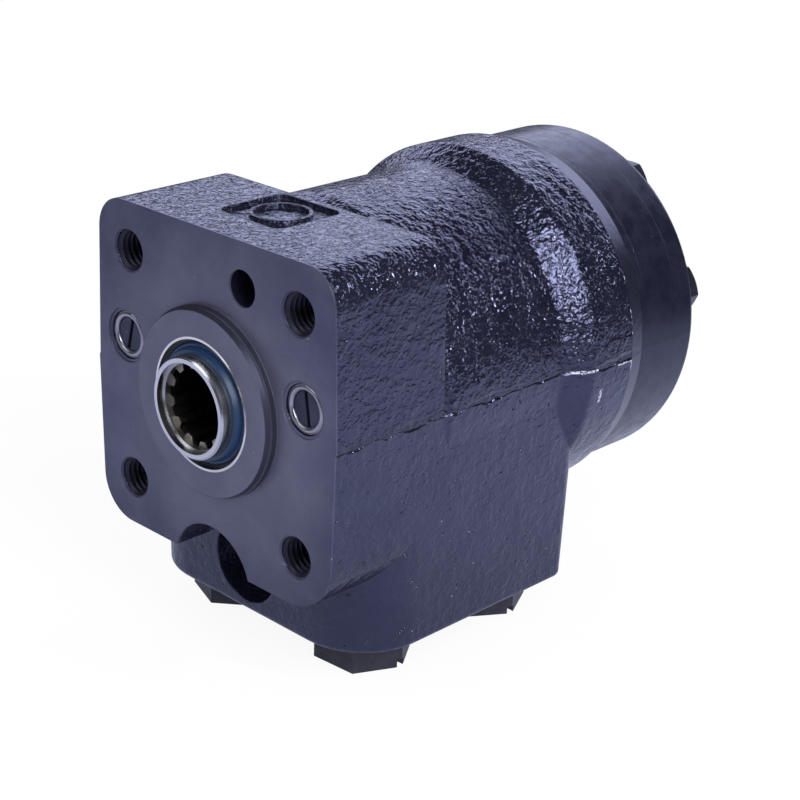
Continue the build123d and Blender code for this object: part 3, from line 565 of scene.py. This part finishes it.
def front_face_color(f):
    """Satin enamel with cloudy smears, a painted highlight that is lighter round one point, and a
    darker wall round the pilot ring.
    """
    # painted highlight: lighter round one point of the front face
    wiped_and_sheen = f.fade(f.from_axis(*PAINTED_SHEEN_CENTRE), *PAINTED_SHEEN_RADII)
    smears = f.patches(mm(17), (0.32, 0.7), detail=4, rough=0.6)
    smears_and_sheen = f.math("ADD", f.times(smears, SMEAR_SHARE), f.times(wiped_and_sheen, PAINTED_SHEEN_SHARE))
    satin = f.blend(smears_and_sheen, ENAMEL_SATIN, ENAMEL_SMEAR_AND_SHEEN)
    proud = f.fade(f.y, *BEFORE_FLANGE)
    behind_top = f.step(f.y, *BEHIND_PILOT)
    wall = f.times(proud, behind_top, f.step(f.from_axis(), *OUTSIDE_PILOT))
    return f.blend(f.times(wall, PILOT_SHARE), satin, PILOT_SHADE)


def housing_enamel():
    """Glossy on the cast skin and satin on the milled front face, with a parting line that is raised
    in the bump and darkened with painted shade.
    """
    f = Finish("housing_enamel")
    cast, rough, face, turned = housing_zones(f)
    edges = f.soft_edge(f.mix(cast, MILLED_EDGE, CAST_EDGE))
    peel = f.bump(f.noise(PEEL, rough=0.6), PEEL_DEPTH, 0.5, edges)
    skin, pits = cast_skin(f, cast, rough, peel)
    line = parting_line(f, cast)
    chips = bare_chips(f)
    skin = f.bump(f.rest_of(line), LINE_DEPTH, LINE_STRENGTH, skin)

    cloud = f.patches(mm(11), (0.34, 0.68), detail=4, rough=0.6)
    color = f.blend(cloud, ENAMEL, ENAMEL_CLOUD)
    color = f.blend(face, color, front_face_color(f))
    color = f.blend(turned, color, ENAMEL)
    # painted shade: the pits and the parting line are darkened
    color = f.blend(f.times(f.most(pits, line), PAINTED_SHADE_SHARE), color, ENAMEL_PAINTED_SHADE)
    # light specks painted on as glints, in the same colour as the chips of bare metal
    painted_glints = f.specks(mm(5.5), (0.018, 0.034), f.stretch((1, 1, 1), GLINT_SPECK_OFFSET))
    color = f.blend(f.most(chips, f.times(painted_glints, GLINT_SPECK_SHARE)), color, CHIP_AND_GLINT)

    gloss = f.patches(mm(2.2), (0.3, 0.7), (0.08, 0.16))
    satin = f.patches(mm(1.1), (0.3, 0.7), (0.36, 0.46), detail=3)
    roughness = f.mix(turned, f.mix(face, gloss, satin), TURNED_ROUGHNESS)
    roughness = f.most(roughness, f.times(chips, CHIP_ROUGHNESS))
    coat = {"Specular Tint": REFLECTION_TINT, "IOR": ENAMEL_INDEX}
    return f.use({**coat, "Base Color": color, "Roughness": roughness, "Normal": skin})


paint("housing", housing_enamel())
print("housing enamelled")

# %% Enamel on the ground gear set, cover and bolts
GRINDING = (0.25, 1.6, 0.25)         # stretches noise into fine marks round the axis
GRINDING_DEPTH = mm(0.012)
SURFACE_WAVE = mm(9)
SURFACE_WAVE_DEPTH = mm(0.06)


def ground_enamel(name, color=ENAMEL, cloud_color=ENAMEL_CLOUD, shine=(0.22, 0.34), edge=mm(0.35)):
    """Thin enamel over ground or forged steel: faint clouds and grinding marks, soft edges."""
    f = Finish(name)
    tone = f.blend(f.patches(mm(10), (0.35, 0.7), detail=4, rough=0.6), color, cloud_color)
    # light specks painted on as glints
    painted_glints = f.times(f.specks(mm(6.5), (0.012, 0.026)), 0.6)
    tone = f.blend(painted_glints, tone, CHIP_AND_GLINT)
    marks = f.noise(mm(0.5), rough=0.6, place=f.stretch(GRINDING))
    normal = f.bump(marks, GRINDING_DEPTH, 0.5, f.soft_edge(edge))
    normal = f.bump(f.noise(SURFACE_WAVE, detail=1), SURFACE_WAVE_DEPTH, 0.5, normal)
    roughness = f.patches(mm(3.5), (0.3, 0.7), shine, detail=3)
    coat = {"Specular Tint": REFLECTION_TINT, "IOR": GROUND_INDEX}
    return f.use({**coat, "Base Color": tone, "Roughness": roughness, "Normal": normal})


gear_enamel = ground_enamel("gear_enamel")
bolt_enamel = ground_enamel(
    "bolt_enamel", (0.008, 0.008, 0.013), (0.012, 0.012, 0.020), (0.28, 0.42), mm(0.5)
)
for node_name in ("distribution_plate", "gear_stator", "end_cover"):
    paint(node_name, gear_enamel)
for node_name in ("cover_bolts", "cover_bolt_washers"):
    paint(node_name, bolt_enamel)
print("gear set, cover and bolts enamelled")

# %% [markdown]
# ## Steel parts
#
# The spool's nose is ground and nearly a mirror, with faint rings left by the wheel. The hidden
# parts get the same kinds of steel in plainer forms, because the poses and cut views can show them.

# %% Steels
RINGS = (0.02, 1, 0.02)              # stretches noise into rings round the spool's axis


def steel(name, color, roughness, ring_size=None, grain=mm(0.004)):
    """Bare steel. ring_size gives turning marks of that pitch along the spool's axis."""
    f = Finish(name)
    dull = tuple(channel * 0.82 for channel in color)
    tone = f.blend(f.patches(mm(5), (0.3, 0.75), detail=3, rough=0.6), color, dull)
    rough = f.patches(mm(1.3), (0.3, 0.7), (roughness * 0.8, roughness * 1.25), detail=3)
    if ring_size:
        marks = f.noise(ring_size, rough=0.6, place=f.stretch(RINGS))
    else:
        marks = f.noise(mm(0.4))
    normal = f.bump(marks, grain, 0.5)
    return f.use({"Metallic": 1.0, "Base Color": tone, "Roughness": rough, "Normal": normal})


SPLINE_WALL = mm(10.35)
SPLINE_ENDS = mm(-3.6)
SPOOL_BRIGHT = ((0.64, 0.64, 0.67), (0.58, 0.58, 0.62))
# painted shade inside the splined socket
SPOOL_SOCKET_SHADE = ((0.060, 0.055, 0.050), (0.13, 0.12, 0.11))
SPLINE_CUT = (0.36, 0.34, 0.31)


def spool_steel():
    """Bright outside, rougher and darkened with painted shade in the splined socket, with the tooth
    ends cut clean.
    """
    f = Finish("ground_steel")
    outside = f.blend(f.patches(mm(5), (0.3, 0.75), detail=3, rough=0.6), *SPOOL_BRIGHT)
    socket_shade = f.blend(f.patches(mm(1.6), (0.35, 0.7), detail=3), *SPOOL_SOCKET_SHADE)
    ends = f.fade(f.y, SPLINE_ENDS, SPLINE_ENDS + mm(0.25))
    inside = f.fade(f.from_axis(), SPLINE_WALL, SPLINE_WALL + mm(0.2))
    tone = f.blend(inside, outside, f.blend(ends, socket_shade, SPLINE_CUT))
    roughness = f.mix(inside, f.patches(mm(4), (0.3, 0.7), (0.22, 0.27)), 0.40)
    rings = f.noise(mm(0.25), rough=0.6, place=f.stretch(RINGS))
    normal = f.bump(rings, mm(0.002), 0.5)
    return f.use({"Metallic": 1.0, "Base Color": tone, "Roughness": roughness, "Normal": normal})


finishes = {
    "ground_steel": spool_steel(),
    "bright_steel": steel("bright_steel", (0.80, 0.79, 0.74), 0.14),
    "bare_steel": steel("bare_steel", (0.50, 0.50, 0.52), 0.30, mm(0.3)),
    "spring_steel": steel("spring_steel", (0.30, 0.30, 0.33), 0.32),
    "bearing_steel": steel("bearing_steel", (0.70, 0.70, 0.72), 0.10),
}
print("steels", sorted(finishes))

# %% Shock valve caps
CAP_SPOTS = {"left": mm(-31.0), "right": mm(31.0)}
CAP_HEIGHT = mm(7.5)
CAP_RIM = mm(4.95)
CAP_BRIGHT = (0.44, 0.44, 0.50)


def cap_finish():
    """Each cap's rim was wiped bright, the left one in patches, and its recess kept the enamel."""
    f = Finish("cap_steel")
    middle = f.times(f.math("SIGN", f.x), CAP_SPOTS["right"])
    rim = f.step(f.from_axis(middle, CAP_HEIGHT), CAP_RIM - mm(0.15), CAP_RIM + mm(0.1))
    worn = f.patches(mm(2.6), (0.36, 0.62), detail=3, rough=0.6)
    wiped_and_sheen = f.times(rim, f.mix(f.step(f.x, mm(-5), mm(5)), worn, 1.0))
    tone = f.blend(wiped_and_sheen, ENAMEL_CLOUD, CAP_BRIGHT)
    roughness = f.mix(wiped_and_sheen, 0.42, 0.30)
    normal = f.bump(f.noise(mm(0.7), detail=3), mm(0.03), 0.8, f.soft_edge(mm(0.25)))
    return f.use({"Metallic": wiped_and_sheen, "Base Color": tone, "Roughness": roughness, "Normal": normal})


finishes["cap_steel"] = cap_finish()
print("caps at mm", [round(x * 1000, 1) for x in CAP_SPOTS.values()])

# %% Rubber and plastic
RUBBER_BLACK = ((0.018, 0.018, 0.020), (0.037, 0.037, 0.040))
SEAL_BLUE = (0.007, 0.028, 0.085)
SEAL_LIP = (0.014, 0.036, 0.085)
SEAL_HOLLOW_SHADE = (0.003, 0.008, 0.020)
LIP_RADII = (mm(12.6), mm(13.6))     # the lighter lip fades between these
HOLLOW_RADII = (mm(14.1), mm(14.9))  # and the painted shade of the hollow starts between these
PLASTIC_BLACK = ((0.014, 0.014, 0.022), (0.026, 0.026, 0.038))


def ring_rubber():
    """Matt black rubber with a little dust."""
    f = Finish("black_rubber")
    tone = f.blend(f.patches(mm(2), (0.4, 0.75), detail=3), *RUBBER_BLACK)
    normal = f.bump(f.noise(mm(0.3)), mm(0.01), 0.5)
    return f.use({"Base Color": tone, "Roughness": 0.55, "Normal": normal})


def seal_rubber():
    """Blue rubber, lighter towards its lip, with painted shade in its hollow."""
    f = Finish("blue_rubber")
    out = f.from_axis()
    # lighter towards the lip
    worn = f.blend(f.fade(out, *LIP_RADII), SEAL_BLUE, SEAL_LIP)
    # painted shade in the hollow of the seal
    tone = f.blend(f.step(out, *HOLLOW_RADII), worn, SEAL_HOLLOW_SHADE)
    normal = f.bump(f.noise(mm(0.5)), mm(0.02), 0.5)
    return f.use({"Base Color": tone, "Roughness": 0.42, "Normal": normal})


def plug_plastic():
    """Moulded black plastic of the shipping plugs."""
    f = Finish("black_plastic")
    tone = f.blend(f.patches(mm(3), (0.35, 0.75), detail=3), *PLASTIC_BLACK)
    rough = f.patches(mm(1.0), (0.3, 0.7), (0.38, 0.5))
    normal = f.bump(f.noise(mm(0.25)), mm(0.008), 0.6, f.soft_edge(mm(0.3)))
    return f.use({"Base Color": tone, "Roughness": rough, "Normal": normal})


finishes["blue_rubber"] = seal_rubber()
finishes["black_rubber"] = ring_rubber()
finishes["black_plastic"] = plug_plastic()
for subpart in frame["record"]["subparts"]:
    if subpart["material_slot"] in finishes:
        paint(subpart["node"], finishes[subpart["material_slot"]])
print("finishes", sorted(finishes))

# %% [markdown]
# ## Threads in the column holes
#
# An M10 thread has a pitch of 1.5 mm and stands about 0.8 mm into its hole. A bump could hint at
# it, but the holes are wide open and the ridges are lit from the side, so they are made.
# `bmesh.ops.spin` with a `dvec` turns and shifts a small section at the same time, which is just
# what a thread is.

# %% Column threads
COLUMN_SQUARE = mm(58.34)
THREAD_RADIUS = mm(5.02)
THREAD_PITCH = mm(1.5)
THREAD_HIGH = mm(0.80)
THREAD_ROOT = THREAD_PITCH * 0.47    # half widths of the ridge at the wall and at its crest
THREAD_CREST = THREAD_PITCH * 0.08
THREAD_START = mm(0.9)
THREAD_TURNS = 12
THREAD_STEPS = 40


def finished(name, mesh, material, body):
    """Turns a bmesh into a piece that rides on a body."""
    data = bpy.data.meshes.new(name)
    mesh.to_mesh(data)
    mesh.free()
    data.materials.append(material)
    piece = bpy.data.objects.new(name, data)
    scene.collection.objects.link(piece)
    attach(piece, body)


def thread_ridge(x, z):
    """Ridge of a thread that runs back along +Y in a hole at (x, z)."""
    mesh = bmesh.new()
    shape = (
        (THREAD_RADIUS, -THREAD_ROOT),
        (THREAD_RADIUS - THREAD_HIGH, -THREAD_CREST),
        (THREAD_RADIUS - THREAD_HIGH, THREAD_CREST),
        (THREAD_RADIUS, THREAD_ROOT),
    )
    corners = [mesh.verts.new((x + r, THREAD_START + y, z)) for r, y in shape]
    face = mesh.faces.new(corners)
    bmesh.ops.spin(
        mesh,
        geom=[face, *face.edges, *face.verts],
        cent=(x, 0, z),
        axis=(0, 1, 0),
        dvec=(0, THREAD_PITCH / THREAD_STEPS, 0),
        angle=2 * pi * THREAD_TURNS,
        steps=THREAD_STEPS * THREAD_TURNS,
    )
    bmesh.ops.recalc_face_normals(mesh, faces=mesh.faces)
    return mesh


half_square = COLUMN_SQUARE / 2
column_spots = {
    "low_left": (-half_square, -half_square),
    "low_right": (half_square, -half_square),
    "top_left": (-half_square, half_square),
    "top_right": (half_square, half_square),
}
thread_enamel = ground_enamel(
    "thread_enamel", (0.006, 0.006, 0.009), (0.011, 0.011, 0.016), (0.4, 0.55), mm(0.1)
)
for place, (x, z) in column_spots.items():
    ridge = thread_ridge(x, z)
    print("thread", place, "faces", len(ridge.faces))
    finished(f"column_thread_{place}", ridge, thread_enamel, "housing")

# %% [markdown]
# ## Discs in the shock valve caps
#
# A bright rim stands round each cap, and just below it lies a painted disc with a slot for a
# screwdriver. The disc starts as a circle. A cut leaves one half of it, the half is extruded and
# its rim is bevelled, and a mirrored copy makes the other side of the slot.

# %% Shock valve discs
DISC_RADIUS = mm(4.22)
DISC_SEGMENTS = 64
DISC_FRONT = mm(1.35)
DISC_BACK = mm(3.25)
DISC_SLOT = mm(0.9)
DISC_BEVEL = mm(0.18)
DISC_TURNS = {"left": radians(-14), "right": radians(9)}


def slotted_disc(x, turn):
    """Two half discs that leave a slot between them, in front of (x, cap height)."""
    mesh = bmesh.new()
    bmesh.ops.create_circle(mesh, cap_ends=True, segments=DISC_SEGMENTS, radius=DISC_RADIUS)
    bmesh.ops.bisect_plane(
        mesh,
        geom=[*mesh.verts, *mesh.edges, *mesh.faces],
        plane_co=(DISC_SLOT / 2, 0, 0),
        plane_no=(-1, 0, 0),
        clear_outer=True,
    )
    grown = bmesh.ops.extrude_face_region(mesh, geom=list(mesh.faces))
    raised = [v for v in grown["geom"] if isinstance(v, bmesh.types.BMVert)]
    bmesh.ops.translate(mesh, verts=raised, vec=(0, 0, DISC_BACK - DISC_FRONT))
    top = [e for e in mesh.edges if all(v in raised for v in e.verts)]
    bmesh.ops.bevel(
        mesh, geom=top, offset=DISC_BEVEL, segments=2, profile=0.5, affect="EDGES", material=-1
    )
    bmesh.ops.mirror(mesh, geom=[*mesh.verts, *mesh.edges, *mesh.faces], axis="X", merge_dist=0)
    bmesh.ops.rotate(mesh, verts=mesh.verts, matrix=Matrix.Rotation(turn, 3, "Z"))
    bmesh.ops.rotate(mesh, verts=mesh.verts, matrix=Matrix.Rotation(pi / 2, 3, "X"))
    bmesh.ops.translate(mesh, verts=mesh.verts, vec=(x, DISC_BACK, CAP_HEIGHT))
    bmesh.ops.recalc_face_normals(mesh, faces=mesh.faces)
    return mesh


disc_enamel = ground_enamel("disc_enamel", ENAMEL, ENAMEL_SATIN, (0.34, 0.46), mm(0.15))
for side, x in CAP_SPOTS.items():
    disc = slotted_disc(x, DISC_TURNS[side])
    lows = [round(min(v.co[i] for v in disc.verts) * 1000, 2) for i in range(3)]
    print("disc", side, "faces", len(disc.faces), "lowest corner mm", lows)
    finished(f"shock_cap_disc_{side}", disc, disc_enamel, "housing")

# %% Rims round the discs
# Radius and depth in millimetres of the rim's section, from the disc outwards
RIM_SECTION = (
    (4.25, 3.2), (4.25, 1.2), (4.42, 0.88), (4.85, 0.70), (5.35, 0.76),
    (5.66, 1.0), (5.66, 1.15), (4.9, 1.3), (4.9, 3.2),
)
RIM_STEPS = 56
SAME_POINT = mm(0.002)
rim_steel = steel("rim_steel", (0.44, 0.44, 0.49), 0.34, grain=0.0)


def cap_rim(x):
    """Ring with a rounded top, spun about the cap's axis."""
    mesh = bmesh.new()
    corners = [mesh.verts.new((x + mm(r), mm(y), CAP_HEIGHT)) for r, y in RIM_SECTION]
    section = [mesh.edges.new(pair) for pair in zip(corners, corners[1:] + corners[:1])]
    bmesh.ops.spin(
        mesh,
        geom=[*corners, *section],
        cent=(x, 0, CAP_HEIGHT),
        axis=(0, 1, 0),
        angle=2 * pi,
        steps=RIM_STEPS,
        use_merge=True,
    )
    bmesh.ops.remove_doubles(mesh, verts=mesh.verts, dist=SAME_POINT)
    bmesh.ops.recalc_face_normals(mesh, faces=mesh.faces)
    for face in mesh.faces:
        face.smooth = True
    return mesh


for side, x in CAP_SPOTS.items():
    ring = cap_rim(x)
    loose = [e for e in ring.edges if len(e.link_faces) != 2]
    print("rim", side, "faces", len(ring.faces), "open edges", len(loose))
    finished(f"shock_cap_rim_{side}", ring, rim_steel, "housing")

# %% [markdown]
# ## Coil springs
#
# A poppet or ball that lifts presses its spring together. Each spring here is a copy of its packed
# piece that rides on the housing, and the packed piece is hidden. The copy stands where the packed
# piece stood, on its plug or cap. Its valve's joint and travel are listed, but nothing makes it
# shorter.

# %% Coil springs
SPRING_TRAVEL = {
    "relief_valve_spring": ("relief_poppet_lift", mm(1.5)),
    "shock_valve_spring_left": ("shock_ball_lift_left", mm(1.0)),
    "shock_valve_spring_right": ("shock_ball_lift_right", mm(1.0)),
}
for name, (joint, travel) in SPRING_TRAVEL.items():
    coils = bpy.data.objects.new(f"{name}_coils", frame["nodes"][name].data.copy())
    scene.collection.objects.link(coils)
    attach(coils, "housing")
    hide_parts(name)
    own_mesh(coils)

# %% [markdown]
# ## The last lines
